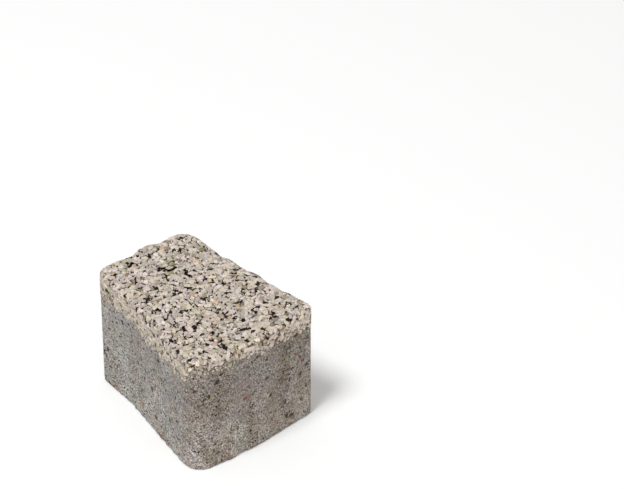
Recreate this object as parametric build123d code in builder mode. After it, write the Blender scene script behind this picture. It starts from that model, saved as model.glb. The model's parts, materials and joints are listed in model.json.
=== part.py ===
from build123d import *
import os

# A concrete paver, cast in a steel mould as one block. It tapers, and its walls
# stand straight up from the bed to the wearing face. Seen from above, the broad
# end bows out, the near side kinks where its flare starts, and the far side and
# the narrow end have the soft waves of a mould that imitates hewn stone. The
# four corners are rounded unequally, and the arris round the wearing face is
# eased.
#
# Frame: +Z up from the bed, +X from the narrow end to the broad end, origin
# under the middle of the block. All sizes are in millimetres.

# Driving dimensions
thickness = 80.0  # from the bed to the wearing face
length = 100.3  # between the two end lines, before they wave
narrow_width = 62.9  # of the narrow end, corner to corner
broad_width = 86.2  # of the broad end, corner to corner
narrow_end_shift = -3.4  # how far the narrow end lies off the broad end's centre line

near_narrow_radius = 7.0  # the mould's corner radii
near_broad_radius = 12.0
far_broad_radius = 4.0
far_narrow_radius = 12.5
wave_radius = 6.0  # of each soft bend along a wall
arris_radius = 3.5  # of the edge round the wearing face

# The waves of each wall, in the order they come going anticlockwise. Each place
# along the wall, from 0 at its first corner to 1 at its last, has how far the
# wall stands out there (or in, when below 0) from the line between its corners.
near_side_waves = {0.32: -2.7, 0.62: -1.2}
broad_end_waves = {0.22: 1.4, 0.30: 2.5, 0.37: 1.6, 0.465: 2.7, 0.56: 2.4, 0.82: 0.7}
far_side_waves = {
    0.11: -1.2,
    0.18: -1.4,
    0.23: -2.7,
    0.28: -2.2,
    0.32: -3.0,
    0.41: -1.5,
    0.49: -3.2,
    0.62: -2.7,
    0.655: -4.0,
    0.80: -2.5,
}
narrow_end_waves = {0.31: -3.1, 0.42: 0.1, 0.525: 0.1, 0.62: -2.5, 0.765: -0.5}


def wall(start, end, waves):
    """The corner a wall starts from, then a point at each of its waves."""
    along = end - start
    outwards = Vector(along.Y, -along.X).normalized()
    return [start] + [start + along * place + outwards * push for place, push in waves.items()]


# The mould's outline, closed through its four corners and the waves between
near_narrow = Vector(-length / 2, narrow_end_shift - narrow_width / 2)
near_broad = Vector(length / 2, -broad_width / 2)
far_broad = Vector(length / 2, broad_width / 2)
far_narrow = Vector(-length / 2, narrow_end_shift + narrow_width / 2)

walls = [
    (near_narrow, near_broad, near_side_waves, near_narrow_radius),
    (near_broad, far_broad, broad_end_waves, near_broad_radius),
    (far_broad, far_narrow, far_side_waves, far_broad_radius),
    (far_narrow, near_narrow, narrow_end_waves, far_narrow_radius),
]
points = []
radii = []
for start, end, waves, corner_radius in walls:
    points += wall(start, end, waves)
    radii += [corner_radius] + [wave_radius] * len(waves)

with BuildLine() as mould_outline:
    FilletPolyline(*points, radius=radii, close=True)

# The paver: the outline drawn about its own middle and cast to the thickness,
# then the arris eased
middle = mould_outline.line.bounding_box().center()
with BuildPart() as paver:
    with BuildSketch(Plane(origin=(-middle.X, -middle.Y, 0))):
        make_face(mould_outline.edges())
    extrude(amount=thickness)
    wearing_face = paver.faces().sort_by(Axis.Z)[-1]
    fillet(wearing_face.edges(), radius=arris_radius)

paver.part.label = "paver"

os.makedirs("parts", exist_ok=True)
export_step(paver.part, "parts/paver.step")

size = paver.part.bounding_box().size
print(f"paver: {size.X:.1f} x {size.Y:.1f} x {size.Z:.1f} mm, {paver.part.volume / 1000:.1f} cm3")
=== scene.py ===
# %% [markdown]
# A small concrete paver, dressed for its picture.
#
# The real block is one casting. Its wearing face was washed while the concrete was young, which takes
# the cement paste from between the stone chips and leaves them standing, and its walls keep the fine
# grey skin that the steel mould gave them. So the block gets one body and three sieve fractions of
# stone chips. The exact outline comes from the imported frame, and everything here is built on it.

import json
import math
import random

import bmesh
import bpy
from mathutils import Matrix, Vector

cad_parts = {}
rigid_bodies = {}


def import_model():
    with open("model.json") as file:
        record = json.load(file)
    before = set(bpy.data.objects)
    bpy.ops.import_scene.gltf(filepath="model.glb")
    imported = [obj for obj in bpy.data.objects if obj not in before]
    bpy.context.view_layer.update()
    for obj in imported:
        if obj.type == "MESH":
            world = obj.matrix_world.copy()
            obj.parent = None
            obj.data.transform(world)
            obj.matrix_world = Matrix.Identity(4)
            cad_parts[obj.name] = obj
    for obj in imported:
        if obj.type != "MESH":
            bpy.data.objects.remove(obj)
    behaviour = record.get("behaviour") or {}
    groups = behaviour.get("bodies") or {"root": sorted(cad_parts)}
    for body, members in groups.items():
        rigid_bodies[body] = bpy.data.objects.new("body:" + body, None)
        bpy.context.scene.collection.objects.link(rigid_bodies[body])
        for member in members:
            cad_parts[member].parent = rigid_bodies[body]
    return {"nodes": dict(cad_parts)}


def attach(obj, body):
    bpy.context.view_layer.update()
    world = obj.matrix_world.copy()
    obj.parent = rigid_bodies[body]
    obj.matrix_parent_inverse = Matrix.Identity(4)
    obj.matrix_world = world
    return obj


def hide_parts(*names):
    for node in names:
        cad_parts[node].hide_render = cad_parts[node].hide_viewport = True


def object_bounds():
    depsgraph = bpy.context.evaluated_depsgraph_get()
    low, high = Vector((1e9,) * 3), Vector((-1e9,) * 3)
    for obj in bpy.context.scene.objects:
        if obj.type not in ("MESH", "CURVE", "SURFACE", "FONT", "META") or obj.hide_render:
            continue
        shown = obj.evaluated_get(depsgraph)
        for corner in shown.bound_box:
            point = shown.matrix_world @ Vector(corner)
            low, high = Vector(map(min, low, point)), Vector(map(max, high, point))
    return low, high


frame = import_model()
cad_low, cad_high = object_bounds()
MM = 0.001  # the scene is in metres, and sizes are written as so many times MM
FACE_Z = cad_high.z  # the height of the wearing face
print("CAD box in mm:", [round(side / MM, 1) for side in cad_high - cad_low])

# %% [markdown]
# Node trees are easier to read when each node takes one short line. These helpers add a node, fill its
# inputs with numbers or with the outputs of other nodes, and return the output that is usually wanted.
# They serve the geometry trees and the shader trees alike, because both share the maths and the
# texture nodes.


# %% Adding a node
def fill(tree, made, inputs):
    """Gives each input, found by its name or index, a plain value or the output of another node."""
    for name, value in inputs.items():
        if isinstance(value, bpy.types.NodeSocket):
            tree.links.new(value, made.inputs[name])
        else:
            made.inputs[name].default_value = value


def node(tree, kind, inputs=None, **settings):
    """Adds a node with its settings, and fills its inputs."""
    made = tree.nodes.new(kind)
    for name, value in settings.items():  # first, because a setting can change which inputs there are
        setattr(made, name, value)
    fill(tree, made, inputs or {})
    return made


# %% Arithmetic in a tree
def maths(tree, operation, first, second=0.0, third=0.0):
    """One step of arithmetic on numbers."""
    return node(tree, "ShaderNodeMath", {0: first, 1: second, 2: third}, operation=operation).outputs[0]


def times(tree, first, second):
    return maths(tree, "MULTIPLY", first, second)


def opposite(tree, mask):
    """Turns a mask round: 1 where it is 0, and 0 where it is 1."""
    return maths(tree, "SUBTRACT", 1.0, mask)


def vectors(tree, operation, first, second=(0, 0, 0)):
    """One step of arithmetic on places or directions."""
    made = node(tree, "ShaderNodeVectorMath", {0: first, 1: second}, operation=operation)
    return made.outputs["Value" if operation == "DOT_PRODUCT" else "Vector"]


def scaled(tree, vector, factor):
    made = node(tree, "ShaderNodeVectorMath", {0: vector, "Scale": factor}, operation="SCALE")
    return made.outputs["Vector"]


def ranged(tree, value, between, gives=(0.0, 1.0)):
    """Carries one range of values over to another, smoothly and held at both ends."""
    inputs = {0: value, 1: between[0], 2: between[1], 3: gives[0], 4: gives[1]}
    return node(tree, "ShaderNodeMapRange", inputs, interpolation_type="SMOOTHSTEP").outputs[0]


def graded(tree, mask, at_none, at_full):
    """Goes from one value, where the mask is 0, to the other, where it is 1."""
    return ranged(tree, mask, between=(0.0, 1.0), gives=(at_none, at_full))


# %% Helpers for places and patterns
def split(tree, place):
    """How far a place lies along the block, across it and above the bed."""
    return node(tree, "ShaderNodeSeparateXYZ", {0: place}).outputs


def height_of(tree, place):
    return split(tree, place)["Z"]


def below_face(depth):
    """The height that lies this deep below the wearing face."""
    return FACE_Z - depth


def drawn_upright(tree, place, height_counts):
    """A place whose height counts for less, which draws a pattern out into upright bands."""
    return vectors(tree, "MULTIPLY", place, (1.0, 1.0, height_counts))


NOISE_MIDDLE = 0.5


def noise(tree, place, size, detail=2.0):
    """A cloudy value round its middle whose clouds are about this size."""
    inputs = {"Vector": place, "Scale": 1 / size, "Detail": detail}
    return node(tree, "ShaderNodeTexNoise", inputs).outputs[0]


def clouded(tree, place, size, between, detail=2.0, gives=(0.0, 1.0)):
    """Clouds of this size, with one range of their values carried over to another."""
    return ranged(tree, noise(tree, place, size=size, detail=detail), between, gives)


# %% [markdown]
# The block is made of two mixes. Under the wearing face lies the facing mix, creamy and full of small
# stone, and below it comes the plain grey mix of the block. The line between them is where the two met
# in the mould, so it wanders. It is deepest along the sides and shallowest at the near corner of the
# broad end, and from there it deepens along that end. The chips thin out at the line and the concrete
# changes colour at it, so both read it from one rule.

# %% Where the facing mix ends
SIDE_LIFT = 3.8 * MM  # how much deeper the facing mix reaches along the sides
END_LIFT = -1.5 * MM  # the same in the middle of the broad end
END_TILT = 0.09  # how fast it deepens along the broad end, away from the near side
SIDE_ENDS, END_BEGINS = 38 * MM, 44 * MM  # along the block, where one rule gives way to the other
FACING_THINS, FACING_GONE = 7 * MM, 11.5 * MM  # below the face, before it is lifted
LINE_WAVES = [(20 * MM, 8 * MM), (3.5 * MM, 11 * MM)]  # the size and the swing of the line's waves


def facing_level(tree, place):
    """A place's height, changed so that the line between the two mixes becomes a level one."""
    along, across, height = split(tree, place)
    end_lift = maths(tree, "MULTIPLY_ADD", across, END_TILT, END_LIFT)
    lift = ranged(tree, along, between=(SIDE_ENDS, END_BEGINS), gives=(SIDE_LIFT, end_lift))
    level = maths(tree, "ADD", height, lift)
    for size, swing in LINE_WAVES:
        away = maths(tree, "SUBTRACT", noise(tree, place, size=size), NOISE_MIDDLE)
        level = maths(tree, "ADD", level, times(tree, away, swing))
    return level


def on_the_face(tree, place):
    """1 on the wearing face and its arris, 0 on the walls."""
    return ranged(tree, height_of(tree, place), between=(below_face(6 * MM), below_face(3.5 * MM)))


def on_the_broad_end(tree, place):
    """1 at the wall of the broad end, 0 from 15 mm behind it all the way to the narrow end."""
    return ranged(tree, split(tree, place)["X"], between=(36 * MM, 46 * MM))


line_depth = (FACING_THINS + FACING_GONE) / 2
corner_depth = line_depth + END_LIFT + END_TILT * cad_low.y
print("the facing mix ends", round((line_depth + SIDE_LIFT) / MM, 1), "mm below the face on the sides")
print("and", round(corner_depth / MM, 1), "mm below it at the near corner of the broad end")

# %% [markdown]
# The finishes come first, so that the geometry trees can hand them out. Both materials need small
# specks scattered in a ground: flecks, sand grains, pin holes and stray colours. That is one effect,
# so it is one shader group. A Voronoi texture cuts space into cells, each with a random colour of its
# own: one channel of it decides whether the cell holds a speck, one how large, and one is handed out
# to pick the speck's colour. A little noise on the coordinates keeps the specks from being round.

# %% The speck group
SPECK_WOBBLE = 0.8  # how far the noise pushes the coordinates, in cells
WOBBLE_SCALE = 2.3  # how many clouds of that noise go across a cell
SPECK_RADII = (0.22, 0.5)  # of the smallest and the largest speck, in cells
SOFT_EDGE = 0.7  # a speck fades from this share of its radius outwards


def new_group(name, kind, ins, outs):
    """A node group with these inputs and outputs, what it is given and what it wants."""
    tree = bpy.data.node_groups.new(name, kind)
    for in_out, sockets in (("INPUT", ins), ("OUTPUT", outs)):
        for label, socket_kind in sockets.items():
            tree.interface.new_socket(label, in_out=in_out, socket_type="NodeSocket" + socket_kind)
    return tree, tree.nodes.new("NodeGroupInput").outputs, tree.nodes.new("NodeGroupOutput").inputs


def count_nodes(name, tree):
    print(name, "has", len(tree.nodes), "nodes")


def make_specks():
    """Specks in cells one apart: a mask of where they are, and a random number for each."""
    ins = {"Vector": "Vector", "Cells per Metre": "Float", "Share": "Float", "Wobble": "Float"}
    outs = {"Mask": "Float", "Pick": "Float"}
    tree, given, wanted = new_group("specks", "ShaderNodeTree", ins, outs)
    cells = scaled(tree, given["Vector"], given["Cells per Metre"])
    inputs = {"Vector": cells, "Scale": WOBBLE_SCALE, "Detail": 1.0}
    wobble = node(tree, "ShaderNodeTexNoise", inputs).outputs["Color"]
    centred = vectors(tree, "SUBTRACT", wobble, (NOISE_MIDDLE,) * 3)
    wobbled = vectors(tree, "ADD", cells, scaled(tree, centred, given["Wobble"]))
    inputs = {"Vector": wobbled, "Scale": 1.0}
    voronoi = node(tree, "ShaderNodeTexVoronoi", inputs).outputs
    presence, largeness, pick = node(tree, "ShaderNodeSeparateColor", {0: voronoi["Color"]}).outputs
    present = maths(tree, "LESS_THAN", presence, given["Share"])
    radius = graded(tree, largeness, *SPECK_RADII)
    from_centre = maths(tree, "DIVIDE", voronoi["Distance"], radius)
    inside = ranged(tree, from_centre, between=(SOFT_EDGE, 1.0), gives=(1.0, 0.0))
    tree.links.new(times(tree, present, inside), wanted["Mask"])
    tree.links.new(pick, wanted["Pick"])
    return tree


specks_group = make_specks()
count_nodes("specks", specks_group)


def sprinkle(tree, place, cell, share):
    """Specks in cells of this size, present in this share of them: their mask and their pick."""
    inputs = {"Vector": place, "Cells per Metre": 1 / cell, "Share": share, "Wobble": SPECK_WOBBLE}
    made = node(tree, "ShaderNodeGroup", inputs, node_tree=specks_group)
    return made.outputs["Mask"], made.outputs["Pick"]


# %% [markdown]
# A material is a ground colour with other colours laid over it, one after another, each through a mask.
# The colours are written as a screen shows them, because that is how a picture is compared with the
# real thing.

# %% Colours
SCREEN_GAMMA = 2.2


def paint(red, green, blue):
    """A colour as a screen shows it, from 0 to 255, turned into the linear light that Blender uses."""
    return tuple((part / 255) ** SCREEN_GAMMA for part in (red, green, blue)) + (1.0,)


def mixed(tree, share, below, above, blend="MIX"):
    inputs = {0: share, 6: below, 7: above}
    return node(tree, "ShaderNodeMix", inputs, data_type="RGBA", blend_type=blend).outputs[2]


def multiplied(tree, colour, factor):
    return mixed(tree, 1.0, colour, factor, "MULTIPLY")


def laid_over(tree, ground, mask, colour, strength):
    """Lays a colour over the ground where the mask shows, this strongly."""
    return mixed(tree, times(tree, mask, strength), ground, colour)


def palette(tree, pick, colours):
    """Hands out each colour to its share of the picks. colours is a list of (share, colour)."""
    made = node(tree, "ShaderNodeValToRGB", {0: pick})
    ramp = made.color_ramp
    ramp.interpolation = "CONSTANT"
    reached = 0.0
    for index, (share, colour) in enumerate(colours):
        stop = ramp.elements[0] if index == 0 else ramp.elements.new(reached)
        stop.position = reached
        stop.color = colour
        reached += share
    ramp.elements.remove(ramp.elements[-1])  # the second stop that every new ramp has
    return made.outputs[0]


# %% Materials
def new_material(name):
    """A material and its Principled shader."""
    made = bpy.data.materials.new(name)
    made.use_nodes = True
    return made, made.node_tree.nodes["Principled BSDF"]


def object_place(tree):
    """Where a point lies on the block, which every pattern reads."""
    return node(tree, "ShaderNodeTexCoord").outputs["Object"]


def attribute(tree, name):
    """A number that the mesh carries at each point."""
    return node(tree, "ShaderNodeAttribute", attribute_name=name).outputs["Fac"]


def bumped(tree, height, depth, strength):
    """A bump from a height between 0 and 1 that stands for this depth."""
    inputs = {"Height": height, "Distance": depth, "Strength": strength}
    return node(tree, "ShaderNodeBump", inputs).outputs[0]


# %% [markdown]
# The stone chips are a crushed mix. Most are white to cream quartz and feldspar, some are grey, about
# one in fifteen is black or dark brown, and a few are olive, ochre, pink or brick red. Each chip has
# one random number in its mesh, and the palette turns it into a colour. The dark ones come first, so
# that the tree that lays the chips can tell them by their number too.

# %% The stone mix
DARK_STONES = [
    (0.024, paint(34, 18, 4)),  # dark brown
    (0.014, paint(29, 13, 29)),  # blue-black
    (0.012, paint(21, 18, 4)),  # greenish black
    (0.018, paint(67, 54, 44)),  # brown grey
]
OTHER_STONES = [
    (0.058, paint(160, 145, 129)),  # mid grey
    (0.011, paint(150, 140, 106)),  # olive
    (0.003, paint(150, 84, 72)),  # brick red
    (0.021, paint(208, 180, 156)),  # pink
    (0.014, paint(201, 184, 146)),  # ochre
    (0.048, paint(182, 171, 162)),  # light grey
    (0.048, paint(178, 171, 154)),  # light grey, greener
    (0.150, paint(209, 196, 189)),  # rosy cream
    (0.145, paint(208, 197, 179)),  # cream
    (0.105, paint(211, 195, 182)),  # warm cream
    (0.105, paint(209, 198, 177)),  # yellow cream
    (0.112, paint(222, 209, 202)),  # rosy white
    (0.112, paint(221, 211, 197)),  # creamy white
]
STONE_MIX = DARK_STONES + OTHER_STONES
DARK_SHARE = sum(share for share, colour in DARK_STONES)
print("the stone mix adds up to", round(sum(share for share, colour in STONE_MIX), 3))
print("of which the dark stones are", round(DARK_SHARE, 3))

# %% [markdown]
# One flat colour a chip would look like plastic. Inside a chip, mineral clouds, a faint tint and a few
# fine flecks change the colour from point to point, and each chip is a little lighter or darker than
# the next of its kind.

# %% The colour of a stone
CHIP_TONES = (0.8, 1.13)  # the darkest and the lightest chip of a kind
BLUISH, CREAMY = (0.985, 0.979, 1.042, 1), (1.01, 1.006, 0.948, 1)
FLECK_COLOURS = [(0.6, paint(96, 92, 88)), (0.4, paint(226, 220, 210))]


def stone_colour(tree, place):
    """The chip's own colour, clouded, tinted and flecked."""
    stone = palette(tree, attribute(tree, "chip_pick"), STONE_MIX)
    clouds = clouded(tree, place, size=0.9 * MM, detail=3.0, between=(0.3, 0.7), gives=(0.72, 1.07))
    shade = times(tree, clouds, graded(tree, attribute(tree, "chip_tone"), *CHIP_TONES))
    creamy = clouded(tree, place, size=1.1 * MM, detail=3.0, between=(0.35, 0.65))
    mottled = multiplied(tree, multiplied(tree, stone, shade), mixed(tree, creamy, BLUISH, CREAMY))
    flecks, fleck_pick = sprinkle(tree, place, cell=0.55 * MM, share=0.16)
    return laid_over(tree, mottled, flecks, palette(tree, fleck_pick, FLECK_COLOURS), strength=0.4)


# %% [markdown]
# The wash cleans the stones of the face. On the walls a film of cement still veils them, the thicker
# the lower they lie. The stones of the broad end's arris and wall get painted light, because the lamp
# leaves that end in shade, and the others are dulled a little. The low flanks of the stones, and their
# rims on the arris, get painted shade, where shadow falls between them. The chips carry their depth
# under the cast surface in their mesh, and that says where a flank is low.

# %% Cement on the stones, and painted light and painted shade on them
CEMENT_FILM = paint(194, 181, 164)
# The colour of the painted shade on the stones' low flanks and on their rims at the arris
PAINTED_FLANK_SHADE = paint(84, 60, 37)
SIDE_STONES_PALER = 1.06  # than those of the broad end's wall
END_STONES_PAINTED_LIGHTER = 0.26  # how much painted light brightens the broad end's stones below the tips of the face
SIDE_STONES_DULLER = -0.04  # the same for the rest, where it darkens them a little


def with_cement_film(tree, place, stone):
    """Veils the stones of the walls in patches."""
    on_walls = opposite(tree, on_the_face(tree, place))
    level = facing_level(tree, place)
    film = ranged(tree, level, between=(below_face(14 * MM), below_face(3 * MM)), gives=(0.85, 0.0))
    film = times(tree, film, on_walls)
    patches = clouded(tree, place, size=1.4 * MM, detail=3.0, between=(0.3, 0.6), gives=(0.4, 1.0))
    veiled = mixed(tree, times(tree, film, patches), stone, CEMENT_FILM)
    paler = graded(tree, on_the_broad_end(tree, place), SIDE_STONES_PALER, 1.0)
    return mixed(tree, on_walls, veiled, multiplied(tree, veiled, paler))


def with_painted_flank_shade(tree, place, stone):
    """Paints shade on low flanks in patches and, on the arris, on the rim of each stone."""
    depth = attribute(tree, "chip_depth")
    patches = clouded(tree, place, size=4.5 * MM, detail=1.0, between=(0.45, 0.65), gives=(0.15, 0.85))
    flank_shade = times(tree, ranged(tree, depth, between=(0.6 * MM, 1.7 * MM)), patches)

    # The cast surface over a point lies this far below the face: 0 on the face itself
    drop = maths(tree, "SUBTRACT", maths(tree, "SUBTRACT", FACE_Z, height_of(tree, place)), depth)
    # Painted shade on the rim of each stone of the arris, where its neighbours shade it
    arris_begins = ranged(tree, drop, between=(0.2 * MM, 0.8 * MM))
    arris_ends = ranged(tree, drop, between=(4 * MM, 5.5 * MM), gives=(1.0, 0.0))
    off_the_tip = ranged(tree, depth, between=(0.14 * MM, 0.65 * MM), gives=(0.0, 0.95))
    rim = times(tree, times(tree, arris_begins, arris_ends), off_the_tip)
    return mixed(tree, maths(tree, "MAXIMUM", rim, flank_shade), stone, PAINTED_FLANK_SHADE)


def with_painted_end_light(tree, place, stone):
    """Paints light on the broad end's arris and wall stones, which lie in shade, and dulls the others a
    little.
    """
    height = height_of(tree, place)
    tips = (below_face(1.5 * MM), below_face(0.5 * MM))
    below_tips = ranged(tree, height, between=tips, gives=(1.0, 0.0))
    brighter = graded(tree, on_the_broad_end(tree, place), SIDE_STONES_DULLER, END_STONES_PAINTED_LIGHTER)
    return multiplied(tree, stone, maths(tree, "MULTIPLY_ADD", below_tips, brighter, 1.0))


# %% The chips' material
def make_chip_material():
    made, shader = new_material("washed_stone_chips")
    tree = made.node_tree
    place = object_place(tree)
    colour = stone_colour(tree, place)
    for lay in (with_cement_film, with_painted_flank_shade, with_painted_end_light):
        colour = lay(tree, place, colour)
    grain = noise(tree, place, size=0.35 * MM, detail=3.0)
    finish = {
        "Base Color": colour,
        "Roughness": clouded(tree, place, size=0.7 * MM, between=(0.3, 0.7), gives=(0.5, 0.8)),
        "Normal": bumped(tree, grain, depth=0.1 * MM, strength=0.6),
        "Specular IOR Level": 0.22,
    }
    fill(tree, shader, finish)
    count_nodes(made.name, tree)
    return made


chip_material = make_chip_material()

# %% [markdown]
# Most of the block is the plain grey mix, with the skin that the mould gave it. The mould leaves soft
# upright bands, which are browner and darker on the broad end, where that is painted shade. Clouds and
# faint tints keep the grey alive. The walls are paler towards the foot, which is painted light that the
# pale floor throws up, and there the board under the young block left a reddish stain in places.

# %% The grey mix
SIDE_BANDS = (paint(150, 144, 138), paint(168, 163, 157))  # dark and pale
# On the broad end the bands are darker and browner: painted shade, warm like that end's shadow
SHADED_END_BANDS = (paint(133, 119, 104), paint(165, 156, 147))
GREY_CLOUD = paint(152, 145, 138)
# Painted light at the foot of the broad end, which the pale floor throws up
PAINTED_FOOT_LIGHT = (1.24, 1.27, 1.32, 1)  # of the broad end
GREENISH, PINKISH = (0.986, 1.02, 0.986, 1), (1.014, 0.98, 1.014, 1)
COOLER, WARMER = (0.975, 1.0, 1.028, 1), (1.025, 1.0, 0.972, 1)
BOARD_STAIN = paint(160, 132, 118)


def grey_mix(tree, place, clouds):
    height = height_of(tree, place)
    on_end = on_the_broad_end(tree, place)
    upright = drawn_upright(tree, place, height_counts=0.35)
    bands = clouded(tree, upright, size=11 * MM, detail=3.0, between=(0.36, 0.62))
    dark_band, pale_band = (mixed(tree, on_end, *pair) for pair in zip(SIDE_BANDS, SHADED_END_BANDS))
    grey = laid_over(tree, mixed(tree, bands, dark_band, pale_band), clouds, GREY_CLOUD, strength=0.5)

    # Painted light, which the pale floor throws up: paler towards the foot, the most on the broad end
    foot = times(tree, ranged(tree, height, between=(8 * MM, 40 * MM), gives=(1.0, 0.0)), on_end)
    grey = mixed(tree, foot, grey, multiplied(tree, grey, PAINTED_FOOT_LIGHT))
    paler = ranged(tree, height, between=(5 * MM, 60 * MM), gives=(1.1, 0.935))
    mottle = clouded(tree, place, size=4 * MM, between=(0.3, 0.7), gives=(0.94, 1.15))
    grey = multiplied(tree, grey, times(tree, paler, mottle))

    # Faint tints, pinkish in one place and greenish in the next, and warm or cool
    for size, tints in ((9 * MM, (GREENISH, PINKISH)), (13 * MM, (COOLER, WARMER))):
        tint = mixed(tree, clouded(tree, place, size=size, detail=4.0, between=(0.36, 0.64)), *tints)
        grey = multiplied(tree, grey, tint)

    by_the_board = ranged(tree, height, between=(1 * MM, 7 * MM), gives=(1.0, 0.0))
    patches = clouded(tree, place, size=13 * MM, detail=3.0, between=(0.5, 0.62))
    return laid_over(tree, grey, times(tree, by_the_board, patches), BOARD_STAIN, strength=0.5)


# %% [markdown]
# Above the wandering line the walls turn creamy. On the face the wash has bared the paste between the
# stones, and it lies in their shadow, so it is dark: brownish in one place and blue-black in the next.

# %% The facing mix
FACING_WALLS = (paint(206, 193, 177), paint(190, 178, 164))  # pale and dark
BARED_PASTE = (paint(42, 36, 42), paint(74, 48, 20))  # blue-black and brownish


def facing_mix(tree, place, clouds):
    brownish = clouded(tree, place, size=3 * MM, between=(0.4, 0.6))
    bared = mixed(tree, brownish, *BARED_PASTE)
    return mixed(tree, on_the_face(tree, place), mixed(tree, clouds, *FACING_WALLS), bared)


# %% [markdown]
# Sand shows all over the walls as pale and dark points, less so high on the sides, where the skin is
# closer. Air leaves pin holes, and here and there a coloured chip lies against the mould.

# %% Sand and stray chips
SAND_TONES = (0.2, 1.66)  # the darkest and the lightest grain
OPEN_SKIN, CLOSE_SKIN = 0.86, 0.54  # how strongly the sand shows
PALE_SAND = paint(216, 210, 205)
HOLE_SHADOWS = [(0.45, paint(34, 27, 22)), (0.55, paint(86, 76, 66))]
PIN_HOLE_DEPTH = 0.8  # where the highest grit is 1
STRAY_CHIPS = [
    (0.52, paint(58, 48, 41)),  # near black
    (0.14, paint(136, 70, 62)),  # brick red
    (0.10, paint(184, 128, 82)),  # orange
    (0.06, paint(168, 160, 108)),  # olive
    (0.18, paint(196, 187, 176)),  # pale grey
]


def with_sand(tree, place, ground):
    """Makes the ground darker and lighter from grain to grain, and strews pale grains on it."""
    grain = sprinkle(tree, place, cell=0.62 * MM, share=1.0)[1]
    dust = clouded(tree, place, size=0.6 * MM, detail=3.0, between=(0.36, 0.64), gives=(0.62, 1.38))
    sand = times(tree, graded(tree, grain, *SAND_TONES), dust)
    height = height_of(tree, place)
    on_sides = ranged(tree, height, between=(15 * MM, 65 * MM), gives=(OPEN_SKIN, CLOSE_SKIN))
    on_end = times(tree, on_the_broad_end(tree, place), OPEN_SKIN)
    showing = maths(tree, "MAXIMUM", on_sides, on_end)
    rubbed = clouded(tree, place, size=8 * MM, between=(0.36, 0.6), gives=(0.62, 1.0))
    ground = mixed(tree, times(tree, showing, rubbed), ground, sand, "MULTIPLY")
    pale_grains = sprinkle(tree, place, cell=1.0 * MM, share=0.34)[0]
    return laid_over(tree, ground, pale_grains, PALE_SAND, strength=0.75)


def make_concrete_material():
    made, shader = new_material("cast_concrete")
    tree = made.node_tree
    place = object_place(tree)
    clouds = clouded(tree, place, size=14 * MM, detail=5.0, between=(0.35, 0.65))
    grey, facing = grey_mix(tree, place, clouds), facing_mix(tree, place, clouds)
    level = facing_level(tree, place)
    facing_share = ranged(tree, level, between=(below_face(FACING_GONE), below_face(FACING_THINS)))
    ground = with_sand(tree, place, mixed(tree, facing_share, grey, facing))

    pin_holes, hole_pick = sprinkle(tree, place, cell=1.5 * MM, share=0.36)
    ground = laid_over(tree, ground, pin_holes, palette(tree, hole_pick, HOLE_SHADOWS), strength=0.95)
    chips, chip_pick = sprinkle(tree, place, cell=3.8 * MM, share=0.17)
    ground = laid_over(tree, ground, chips, palette(tree, chip_pick, STRAY_CHIPS), strength=0.85)

    # Grit and pin holes are the relief that is finer than the mesh
    grit = noise(tree, place, size=0.85 * MM, detail=3.0)
    relief = maths(tree, "SUBTRACT", grit, times(tree, pin_holes, PIN_HOLE_DEPTH))
    finish = {
        "Base Color": ground,
        "Roughness": 0.92,
        "Normal": bumped(tree, relief, depth=1.2 * MM, strength=1.0),
        "Specular IOR Level": 0.25,
    }
    fill(tree, shader, finish)
    count_nodes(made.name, tree)
    return made


concrete_material = make_concrete_material()

# %% [markdown]
# The body starts from a merged copy of the CAD block. A voxel remesh covers it with small even faces,
# and a geometry tree then sinks each point inwards along its normal, never outwards, so the block keeps
# its size. Sculpting would also do it, but a rule is the same each time: the washed face sinks to below
# the tips of its stones, the walls get shallow upright waves, grit and blow holes, and the bottom edge,
# where the young block was pushed off its board, crumbles a little.

# %% The relief tree
RELIEF_DEPTHS = {
    "Wash Depth": 1.5 * MM,
    "Wave Depth": 0.2 * MM,
    "Grit Depth": 0.35 * MM,
    "Hole Depth": 0.35 * MM,
    "Crumble Depth": 1.0 * MM,
    "Skin": 0.05 * MM,  # everywhere, so that the even faces stay inside the CAD surface
}
HOLES_APART = 7 * MM
HOLE_RADII = (0.08, 0.22)  # of a blow hole's floor and of its rim, as shares of that
CRUMBLED_SHARES = (0.4, 1.0)  # of the depth, on the sides and on the broad end


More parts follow.
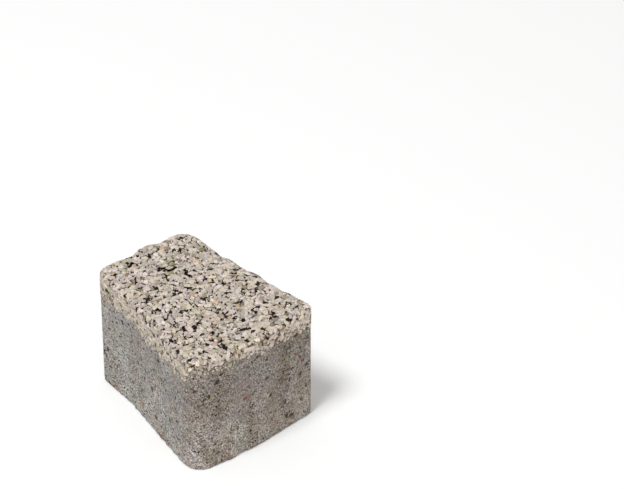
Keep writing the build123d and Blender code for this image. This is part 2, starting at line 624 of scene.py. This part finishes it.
def make_relief_tree():
    ins = {"Geometry": "Geometry", **dict.fromkeys(RELIEF_DEPTHS, "Float"), "Finish": "Material"}
    tree, given, wanted = new_group("cast_relief", "GeometryNodeTree", ins, {"Geometry": "Geometry"})
    place = node(tree, "GeometryNodeInputPosition").outputs[0]
    normal = node(tree, "GeometryNodeInputNormal").outputs[0]
    height = height_of(tree, place)

    # Each kind of relief as a share of its depth, from 0 to 1
    washed = ranged(tree, height, between=(below_face(8 * MM), below_face(3 * MM)))
    waves = noise(tree, drawn_upright(tree, place, height_counts=0.12), size=9 * MM)
    grit = noise(tree, place, size=2.2 * MM, detail=3.0)
    cells = node(tree, "ShaderNodeTexVoronoi", {"Vector": place, "Scale": 1 / HOLES_APART})
    holes = ranged(tree, cells.outputs["Distance"], between=HOLE_RADII, gives=(1.0, 0.0))
    bottom_edge = ranged(tree, height, between=(0.0, 2.5 * MM), gives=(1.0, 0.0))
    crumbs = clouded(tree, place, size=1.9 * MM, between=(0.47, 0.6))
    crumbs = times(tree, crumbs, graded(tree, on_the_broad_end(tree, place), *CRUMBLED_SHARES))
    crumbled = times(tree, bottom_edge, crumbs)

    sunk = given["Skin"]
    shares = {"Wash": washed, "Wave": waves, "Grit": grit, "Hole": holes, "Crumble": crumbled}
    for kind, share in shares.items():
        sunk = maths(tree, "ADD", sunk, times(tree, share, given[kind + " Depth"]))
    inwards = scaled(tree, normal, times(tree, sunk, -1.0))
    moved = node(tree, "GeometryNodeSetPosition", {"Geometry": given["Geometry"], "Offset": inwards})
    dressed = node(tree, "GeometryNodeSetMaterial", {0: moved.outputs[0], "Material": given["Finish"]})
    tree.links.new(dressed.outputs[0], wanted["Geometry"])
    count_nodes(tree.name, tree)
    return tree


relief_tree = make_relief_tree()

# %% [markdown]
# A modifier is only a promise until it is evaluated.


# %% Helpers for objects and modifiers
def new_object(name, data):
    made = bpy.data.objects.new(name, data)
    bpy.context.collection.objects.link(made)
    return made


def as_plain_mesh(source, name):
    """What an object shows with its modifiers, as a new object with a plain mesh."""
    found = source.evaluated_get(bpy.context.evaluated_depsgraph_get())
    made = new_object(name, bpy.data.meshes.new_from_object(found))
    made.data.name = name
    return made


def applied(source, tree, values, name):
    """Runs a geometry tree on a copy of source, with a value for each of its named inputs."""
    runner = source.copy()
    bpy.context.collection.objects.link(runner)
    modifier = runner.modifiers.new(tree.name, "NODES")
    modifier.node_group = tree
    inputs = [socket for socket in tree.interface.items_tree if socket.in_out == "INPUT"]
    identifiers = {socket.name: socket.identifier for socket in inputs}
    for label, value in values.items():
        modifier[identifiers[label]] = value
    made = as_plain_mesh(runner, name)
    bpy.data.objects.remove(runner)
    triangles = sum(len(face.vertices) - 2 for face in made.data.polygons)
    print(name, "has", triangles, "triangles")
    return made


# %% Make the body
BODY_VOXEL = 0.75 * MM
DOUBLES_APART = 0.001 * MM  # corners nearer than this are one and the same


def merged_copy(node_name):
    """The CAD node's mesh with its doubles merged, as an object to work from."""
    mesh = frame["nodes"][node_name].data.copy()
    mesh.materials.clear()
    shape = bmesh.new()
    shape.from_mesh(mesh)
    bmesh.ops.remove_doubles(shape, verts=shape.verts, dist=DOUBLES_APART)
    shape.to_mesh(mesh)
    shape.free()
    return new_object("cad_surface", mesh)


def remeshed(source, voxel):
    """A copy of source covered with even faces about one voxel across."""
    modifier = source.modifiers.new("even_faces", "REMESH")
    modifier.mode = "VOXEL"
    modifier.voxel_size = voxel
    made = as_plain_mesh(source, "even_body")
    source.modifiers.remove(modifier)
    return made


cad_surface = merged_copy("paver")
even_body = remeshed(cad_surface, BODY_VOXEL)
relief = {**RELIEF_DEPTHS, "Finish": concrete_material}
paver_body = applied(even_body, relief_tree, relief, "paver_body")
paver_body.data.shade_smooth()
bpy.data.objects.remove(even_body)

# %% [markdown]
# The chips are the part that the eye goes to. Modelling each by hand is out of the question, and one
# chip copied everywhere would show. So fourteen different chips are made as the crusher makes them: a
# block has flat after flat struck off it, all round, until only flats are left. Crushed stone breaks
# into longish and flattish pieces, so each chip is stretched and flattened in the end.

# %% Fourteen stone chips
CHIP_SHAPES = 14
CHIP_FLATS = 13
ROUGH_CUBE = 1.3  # the side of the block that a chip is struck from, where the chip is about 1 across
FLATS_OUT = (0.34, 0.50)  # how far the flats lie from the middle
FLATS_ASTRAY = 0.3  # how far a flat's direction strays
CORNERS_APART = 0.06  # corners nearer than this are merged
LONGER = (0.8, 1.35)  # how many times as long, while the width shrinks as much
FLATTER = (0.42, 0.66)  # how many times as high
GOLDEN_TURN = math.pi * (3 - math.sqrt(5))  # steps of this turn spread the flats evenly all round
CHIP_SEED = 11


def flat_direction(step, dice):
    """The way that a flat faces: the next step of a spiral from top to bottom, a little astray."""
    rise = 1 - 2 * (step + 0.5) / CHIP_FLATS
    ring = math.sqrt(1 - rise * rise)
    turn = GOLDEN_TURN * step
    away = Vector((math.cos(turn) * ring, math.sin(turn) * ring, rise))
    away += Vector([dice.uniform(-FLATS_ASTRAY, FLATS_ASTRAY) for axis in range(3)])
    away.normalize()
    return away


def strike_flat(shape, away, out):
    """Takes off all that lies further out than this in one direction, and closes the cut."""
    whole = shape.verts[:] + shape.edges[:] + shape.faces[:]
    cut = {"plane_co": away * out, "plane_no": away, "clear_outer": True}
    struck = bmesh.ops.bisect_plane(shape, geom=whole, **cut)["geom_cut"]
    rim = [part for part in struck if isinstance(part, bmesh.types.BMEdge)]
    bmesh.ops.edgeloop_fill(shape, edges=rim)


def wrap_again(shape, corners):
    """Wraps new faces round these corners, which leaves no sliver or doubled face."""
    shape.clear()
    for corner in corners:
        shape.verts.new(corner)
    wrapped = bmesh.ops.convex_hull(shape, input=shape.verts)
    inside = [part for part in wrapped["geom_interior"] if isinstance(part, bmesh.types.BMVert)]
    bmesh.ops.delete(shape, geom=inside, context="VERTS")
    bmesh.ops.recalc_face_normals(shape, faces=shape.faces)


def make_chip(index, dice):
    """One stone chip about 1 across, to be scaled where it is used."""
    shape = bmesh.new()
    bmesh.ops.create_cube(shape, size=ROUGH_CUBE)
    for step in range(CHIP_FLATS):
        away = flat_direction(step, dice)
        strike_flat(shape, away, dice.uniform(*FLATS_OUT))
    bmesh.ops.remove_doubles(shape, verts=shape.verts, dist=CORNERS_APART)
    longer = dice.uniform(*LONGER)
    flatter = dice.uniform(*FLATTER)
    places = [part.co for part in shape.verts]
    wrap_again(shape, [(place.x * longer, place.y / longer, place.z * flatter) for place in places])
    mesh = bpy.data.meshes.new(f"chip_{index}")
    shape.to_mesh(mesh)
    shape.free()
    return bpy.data.objects.new(f"chip_{index}", mesh)


chip_shapes = bpy.data.collections.new("chip_shapes")
chip_dice = random.Random(CHIP_SEED)
for index in range(CHIP_SHAPES):
    chip_shapes.objects.link(make_chip(index, chip_dice))

# %% [markdown]
# One geometry tree lays every fraction of the mix. It scatters points on the CAD surface, no two
# closer than a given distance, and drops some of them. Each that is left gets a random size, chip,
# turn and depth. The next cells make its parts in that order. Each random number has a seed of its
# own, because two rolls with the same seed come out the same.

# %% Random numbers for the chips
SEEDS = {
    "size": 1,
    "lean": 2,
    "tip": 3,
    "turn": 4,
    "shape": 5,
    "sink": 6,
    "pick": 7,
    "tone": 8,
    "keep": 9,
}


def rolled(tree, given, what, low, high):
    """A random number for each point, from low to high, with a seed for what it decides."""
    inputs = {2: low, 3: high, "Seed": maths(tree, "ADD", given["Seed"], SEEDS[what])}
    return node(tree, "FunctionNodeRandomValue", inputs, data_type="FLOAT").outputs[1]


def stored(tree, geometry, name, value):
    """Keeps a number on each point under this name, where later nodes and the material find it."""
    inputs = {"Geometry": geometry, "Name": name, "Value": value}
    kind = {"data_type": "FLOAT", "domain": "POINT"}
    return node(tree, "GeometryNodeStoreNamedAttribute", inputs, **kind).outputs[0]


def recalled(tree, name):
    return node(tree, "GeometryNodeInputNamedAttribute", {"Name": name}, data_type="FLOAT").outputs[0]


# %% [markdown]
# A point is dropped below the facing mix, on a coarser stone, and in a gap. The gaps are where the real
# face shows its dark paste. They come in clouds, so that some join, and they keep off the arris, where
# the stones are packed against the mould.

# %% Where no chip lies
GAP_SIZE = 4.1 * MM


def no_chip(tree, given, place):
    """1 for the points to drop, 0 for the rest."""
    present = ranged(tree, facing_level(tree, place), between=(given["Fades Out"], given["Full From"]))
    present = maths(tree, "MAXIMUM", present, on_the_face(tree, place))
    too_low = maths(tree, "GREATER_THAN", rolled(tree, given, "keep", 0.0, 1.0), present)

    clouds = noise(tree, place, size=GAP_SIZE, detail=1.0)
    gaps = maths(tree, "GREATER_THAN", clouds, given["Gaps Above"])
    off_arris = ranged(tree, height_of(tree, place), between=(below_face(2 * MM), below_face(0.8 * MM)))
    absent = maths(tree, "MAXIMUM", too_low, times(tree, gaps, off_arris))

    coarser = node(tree, "GeometryNodeObjectInfo", {"Object": given["Coarser"]}).outputs["Geometry"]
    inputs = {0: coarser, "Sample Position": place}
    nearest = node(tree, "GeometryNodeProximity", inputs, target_element="FACES").outputs
    close = maths(tree, "LESS_THAN", nearest["Distance"], given["Clear of Coarser"])
    return maths(tree, "MAXIMUM", absent, times(tree, close, nearest["Is Valid"]))


# %% [markdown]
# Small stones are more common than large ones, so the roll for the size is bent towards them. The roll
# that picks the colour is bent too, up in one place and down in the next: the dark stones have the
# lowest picks, so they lie in clusters.

# %% What each chip carries
SMALL_IS_COMMON = 1.6  # 1 would make all sizes equally common
HIGHEST_PICK = 0.999  # just below 1, where the palette ends


def with_numbers(tree, given, points, place):
    """Stores the chip's size, and the pick and tone that its material reads."""
    bent = maths(tree, "POWER", rolled(tree, given, "size", 0.0, 1.0), SMALL_IS_COMMON)
    inputs = {0: bent, 3: given["Smallest"], 4: given["Largest"]}
    size = node(tree, "ShaderNodeMapRange", inputs).outputs[0]
    bend = clouded(tree, place, size=5 * MM, detail=1.0, between=(0.38, 0.62), gives=(0.45, 1.7))
    pick = maths(tree, "POWER", rolled(tree, given, "pick", 0.0, HIGHEST_PICK), bend)
    tone = rolled(tree, given, "tone", 0.0, 1.0)
    for name, value in (("chip_size", size), ("chip_pick", pick), ("chip_tone", tone)):
        points = stored(tree, points, name, value)
    return points


# %% [markdown]
# Each chip lies on its flat, as the press left it, a little aslant and turned any way. Everywhere it is
# sunk by a share of its own size. On the face, the fine and the dark stones lie deeper still: the fine
# ones fill in between the coarser, and most dark places of the real face are in a hollow.

# %% How each chip lies
LEAN = 0.3  # how far a chip leans at most, in radians
FULL_TURN = 6.283  # in radians
SUNK_SHARES = (0.08, 0.28)  # how much of its size a chip is sunk by
DARK_DEEPER = 0.4 * MM  # on the face


def turned(tree, given, upright):
    leans = {
        0: rolled(tree, given, "lean", -LEAN, LEAN),
        1: rolled(tree, given, "tip", -LEAN, LEAN),
        2: rolled(tree, given, "turn", 0.0, FULL_TURN),
    }
    angles = node(tree, "ShaderNodeCombineXYZ", leans).outputs[0]
    turn = node(tree, "FunctionNodeEulerToRotation", {0: angles}).outputs[0]
    inputs = {"Rotation": upright, "Rotate By": turn}
    return node(tree, "FunctionNodeRotateRotation", inputs, rotation_space="LOCAL").outputs[0]


def sunk_in(tree, given, points, normal, place):
    """Moves each point inwards, by a share of its chip's size and more for some on the face."""
    dark = maths(tree, "LESS_THAN", recalled(tree, "chip_pick"), DARK_SHARE)
    deeper = maths(tree, "ADD", given["Deeper"], times(tree, dark, DARK_DEEPER))
    sink = times(tree, recalled(tree, "chip_size"), rolled(tree, given, "sink", *SUNK_SHARES))
    sink = maths(tree, "ADD", sink, times(tree, deeper, on_the_face(tree, place)))
    inwards = scaled(tree, normal, times(tree, sink, -1.0))
    return node(tree, "GeometryNodeSetPosition", {"Geometry": points, "Offset": inwards}).outputs[0]


def with_chips(tree, given, points, upright):
    """Puts one of the chip shapes on each point, as real geometry."""
    shapes = {"Collection": given["Chips"], "Separate Children": True, "Reset Children": True}
    inputs = {4: 0, 5: CHIP_SHAPES - 1, "Seed": SEEDS["shape"]}
    picked = node(tree, "FunctionNodeRandomValue", inputs, data_type="INT").outputs[2]
    inputs = {
        "Points": points,
        "Instance": node(tree, "GeometryNodeCollectionInfo", shapes).outputs[0],
        "Pick Instance": True,
        "Instance Index": picked,
        "Rotation": turned(tree, given, upright),
        "Scale": recalled(tree, "chip_size"),
    }
    laid = node(tree, "GeometryNodeInstanceOnPoints", inputs).outputs[0]
    return node(tree, "GeometryNodeRealizeInstances", {0: laid}).outputs[0]


# %% [markdown]
# The fresh face was struck off level, so any corner that would stand out of the CAD surface is moved
# back onto it. The rest store how deep they lie, for the painted shade on their flanks.


# %% Struck off level
def struck_level(tree, surface, chips, place):
    """Moves what stands out of the surface back onto it, and stores the depth of the rest."""
    inputs = {0: surface, "Sample Position": place}
    nearest = node(tree, "GeometryNodeProximity", inputs, target_element="FACES").outputs
    facing = node(tree, "GeometryNodeInputNormal").outputs[0]
    inputs = {"Mesh": surface, "Value": facing, "Sample Position": place}
    sampled = node(tree, "GeometryNodeSampleNearestSurface", inputs, data_type="FLOAT_VECTOR")
    away = vectors(tree, "SUBTRACT", place, nearest["Position"])
    outwards = vectors(tree, "DOT_PRODUCT", away, sampled.outputs[0])
    outside = maths(tree, "GREATER_THAN", outwards, 0.0)
    depth = times(tree, nearest["Distance"], opposite(tree, outside))
    chips = stored(tree, chips, "chip_depth", depth)
    inputs = {"Geometry": chips, "Selection": outside, "Position": nearest["Position"]}
    return node(tree, "GeometryNodeSetPosition", inputs).outputs[0]


# %% The chip tree
CHIP_INPUTS = {
    "Geometry": "Geometry",  # the surface that the chips are laid on
    "Chips": "Collection",  # the chip shapes
    "Coarser": "Object",  # the fraction that was laid before
    "Clear of Coarser": "Float",  # how far a point keeps from that one
    "Apart": "Float",  # how far a point keeps from the next
    "Most per Square Metre": "Float",  # how many points are tried
    "Smallest": "Float",
    "Largest": "Float",
    "Deeper": "Float",  # how much further the chips are sunk on the face
    "Fades Out": "Float",  # the facing level with the last chips
    "Full From": "Float",  # the facing level above which none is missing
    "Seed": "Int",
    "Gaps Above": "Float",  # the noise above which there is a gap
    "Finish": "Material",
}


def make_chip_tree():
    outs = {"Geometry": "Geometry"}
    tree, given, wanted = new_group("lay_chips", "GeometryNodeTree", CHIP_INPUTS, outs)
    place = node(tree, "GeometryNodeInputPosition").outputs[0]
    inputs = {
        "Mesh": given["Geometry"],
        "Distance Min": given["Apart"],
        "Density Max": given["Most per Square Metre"],
        "Seed": given["Seed"],
    }
    kind = {"distribute_method": "POISSON"}
    spread = node(tree, "GeometryNodeDistributePointsOnFaces", inputs, **kind).outputs
    inputs = {0: spread["Points"], "Selection": no_chip(tree, given, place)}
    kept = node(tree, "GeometryNodeDeleteGeometry", inputs).outputs[0]
    numbered = with_numbers(tree, given, kept, place)
    sunk = sunk_in(tree, given, numbered, spread["Normal"], place)
    chips = with_chips(tree, given, sunk, spread["Rotation"])
    struck = struck_level(tree, given["Geometry"], chips, place)
    dressed = node(tree, "GeometryNodeSetMaterial", {0: struck, "Material": given["Finish"]})
    tree.links.new(dressed.outputs[0], wanted["Geometry"])
    count_nodes(tree.name, tree)
    return tree


chip_tree = make_chip_tree()

# %% [markdown]
# The mix is laid from coarse to fine, each fraction in the room that the coarser one leaves. The coarse
# chips are few and far between, the medium ones cover most of the face, and the fine ones fill in.

# %% Lay the three fractions
FRACTIONS = {
    "coarse_chips": {
        "Smallest": 3.2 * MM,
        "Largest": 4.3 * MM,
        "Apart": 3.8 * MM,
        "Clear of Coarser": 0.0,
        "Most per Square Metre": 30_000.0,
        "Fades Out": below_face(12 * MM),
        "Deeper": 0.0,
        "Seed": 5,
    },
    "medium_chips": {
        "Smallest": 2.32 * MM,
        "Largest": 3.9 * MM,
        "Apart": 1.95 * MM,
        "Clear of Coarser": 0.7 * MM,
        "Most per Square Metre": 1_800_000.0,
        "Fades Out": below_face(15 * MM),
        "Deeper": 0.0,
        "Seed": 21,
    },
    "fine_chips": {
        "Smallest": 1.1 * MM,
        "Largest": 1.8 * MM,
        "Apart": 0.95 * MM,
        "Clear of Coarser": 0.25 * MM,
        "Most per Square Metre": 2_500_000.0,
        "Fades Out": below_face(16 * MM),
        "Deeper": 0.4 * MM,
        "Seed": 42,
    },
}
SHARED = {
    "Chips": chip_shapes,
    "Full From": below_face(5 * MM),
    "Gaps Above": 0.667,
    "Finish": chip_material,
}

chip_pieces = []
for name, fraction in FRACTIONS.items():
    values = {**SHARED, **fraction}
    if chip_pieces:
        values["Coarser"] = chip_pieces[-1]
    laid = applied(cad_surface, chip_tree, values, name)
    laid.data.shade_flat()
    chip_pieces.append(laid)

bpy.data.objects.remove(cad_surface)
for chip in list(chip_shapes.objects):
    bpy.data.objects.remove(chip)
bpy.data.collections.remove(chip_shapes)

# %% [markdown]
# Every piece rides on the one body, and the body stands in for the CAD block.

# %% Tie the pieces to the frame
for piece in [paver_body] + chip_pieces:
    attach(piece, "root")
    print(piece.name, "rides on root")
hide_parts("paver")

# %% [markdown]
# The block was photographed on white from above its nearest corner, with a long lens. The camera looks
# past the block at the point of the ground that the middle of the picture shows.

# %% Camera
AZIMUTH = math.radians(51.5)
ELEVATION = math.radians(40.0)
AIM = Vector((-67.0, 132.6, 0.0)) * MM
CAMERA_DISTANCE = 2367.9 * MM
LENS = 230.8  # for the camera's 36 mm wide sensor
CLIP_START, CLIP_END = 0.1, 20.0  # in metres

towards_camera = (
    math.sin(AZIMUTH) * math.cos(ELEVATION),
    -math.cos(AZIMUTH) * math.cos(ELEVATION),
    math.sin(ELEVATION),
)
back = Vector(towards_camera)
camera = new_object("camera", bpy.data.cameras.new("camera"))
camera.data.lens = LENS
camera.data.clip_start = CLIP_START
camera.data.clip_end = CLIP_END
camera.location = AIM + back * CAMERA_DISTANCE
camera.rotation_euler = back.to_track_quat("Z", "Y").to_euler()
bpy.context.scene.camera = camera
print("camera at", [round(part / MM, 1) for part in camera.location], "mm")

# %% [markdown]
# Soft studio light: a white room all round, and one large lamp high in front of the near side, which
# leaves the broad end a little darker. The floor is pale, and glows faintly, so that it stays white
# to the edges of the picture.

# %% Floor
FLOOR_REACH = 6.0  # in metres, from the middle to each side
FLOOR_FINISH = {
    "Base Color": (0.95, 0.95, 0.95, 1),
    "Emission Color": (1.0, 1.0, 1.0, 1),
    "Emission Strength": 0.05,
    "Roughness": 0.9,
}


def make_floor(reach):
    mesh = bpy.data.meshes.new("floor")
    corners = [(-reach, -reach, 0), (reach, -reach, 0), (reach, reach, 0), (-reach, reach, 0)]
    mesh.from_pydata(corners, [], [(0, 1, 2, 3)])
    pale, shader = new_material("pale_floor")
    fill(pale.node_tree, shader, FLOOR_FINISH)
    mesh.materials.append(pale)
    return new_object("floor", mesh)


floor = make_floor(FLOOR_REACH)
print("floor", 2 * FLOOR_REACH, "m across")

# %% Light
LAMP_PLACE = Vector((0.15, -0.8, 2.15))  # in metres
LAMP_AIM = Vector((0, 0, 0.04))  # the middle of the block
LAMP_ACROSS = 0.6  # in metres
LAMP_POWER = 33  # in watts
LAMP_COLOUR = (0.96, 0.985, 1.0)
ROOM_LIGHT = {"Color": (1.0, 0.98, 0.955, 1), "Strength": 0.5}

lamp = new_object("key", bpy.data.lights.new("key", "AREA"))
lamp.data.shape = "DISK"
lamp.data.size = LAMP_ACROSS
lamp.data.energy = LAMP_POWER
lamp.data.color = LAMP_COLOUR
lamp.location = LAMP_PLACE
lamp.rotation_euler = (LAMP_PLACE - LAMP_AIM).to_track_quat("Z", "Y").to_euler()

world = bpy.data.worlds.new("white_room")
world.use_nodes = True
fill(world.node_tree, world.node_tree.nodes["Background"], ROOM_LIGHT)
bpy.context.scene.world = world
bpy.context.scene.view_settings.view_transform = "Standard"
print("lamp", round((LAMP_PLACE - LAMP_AIM).length, 2), "m away")
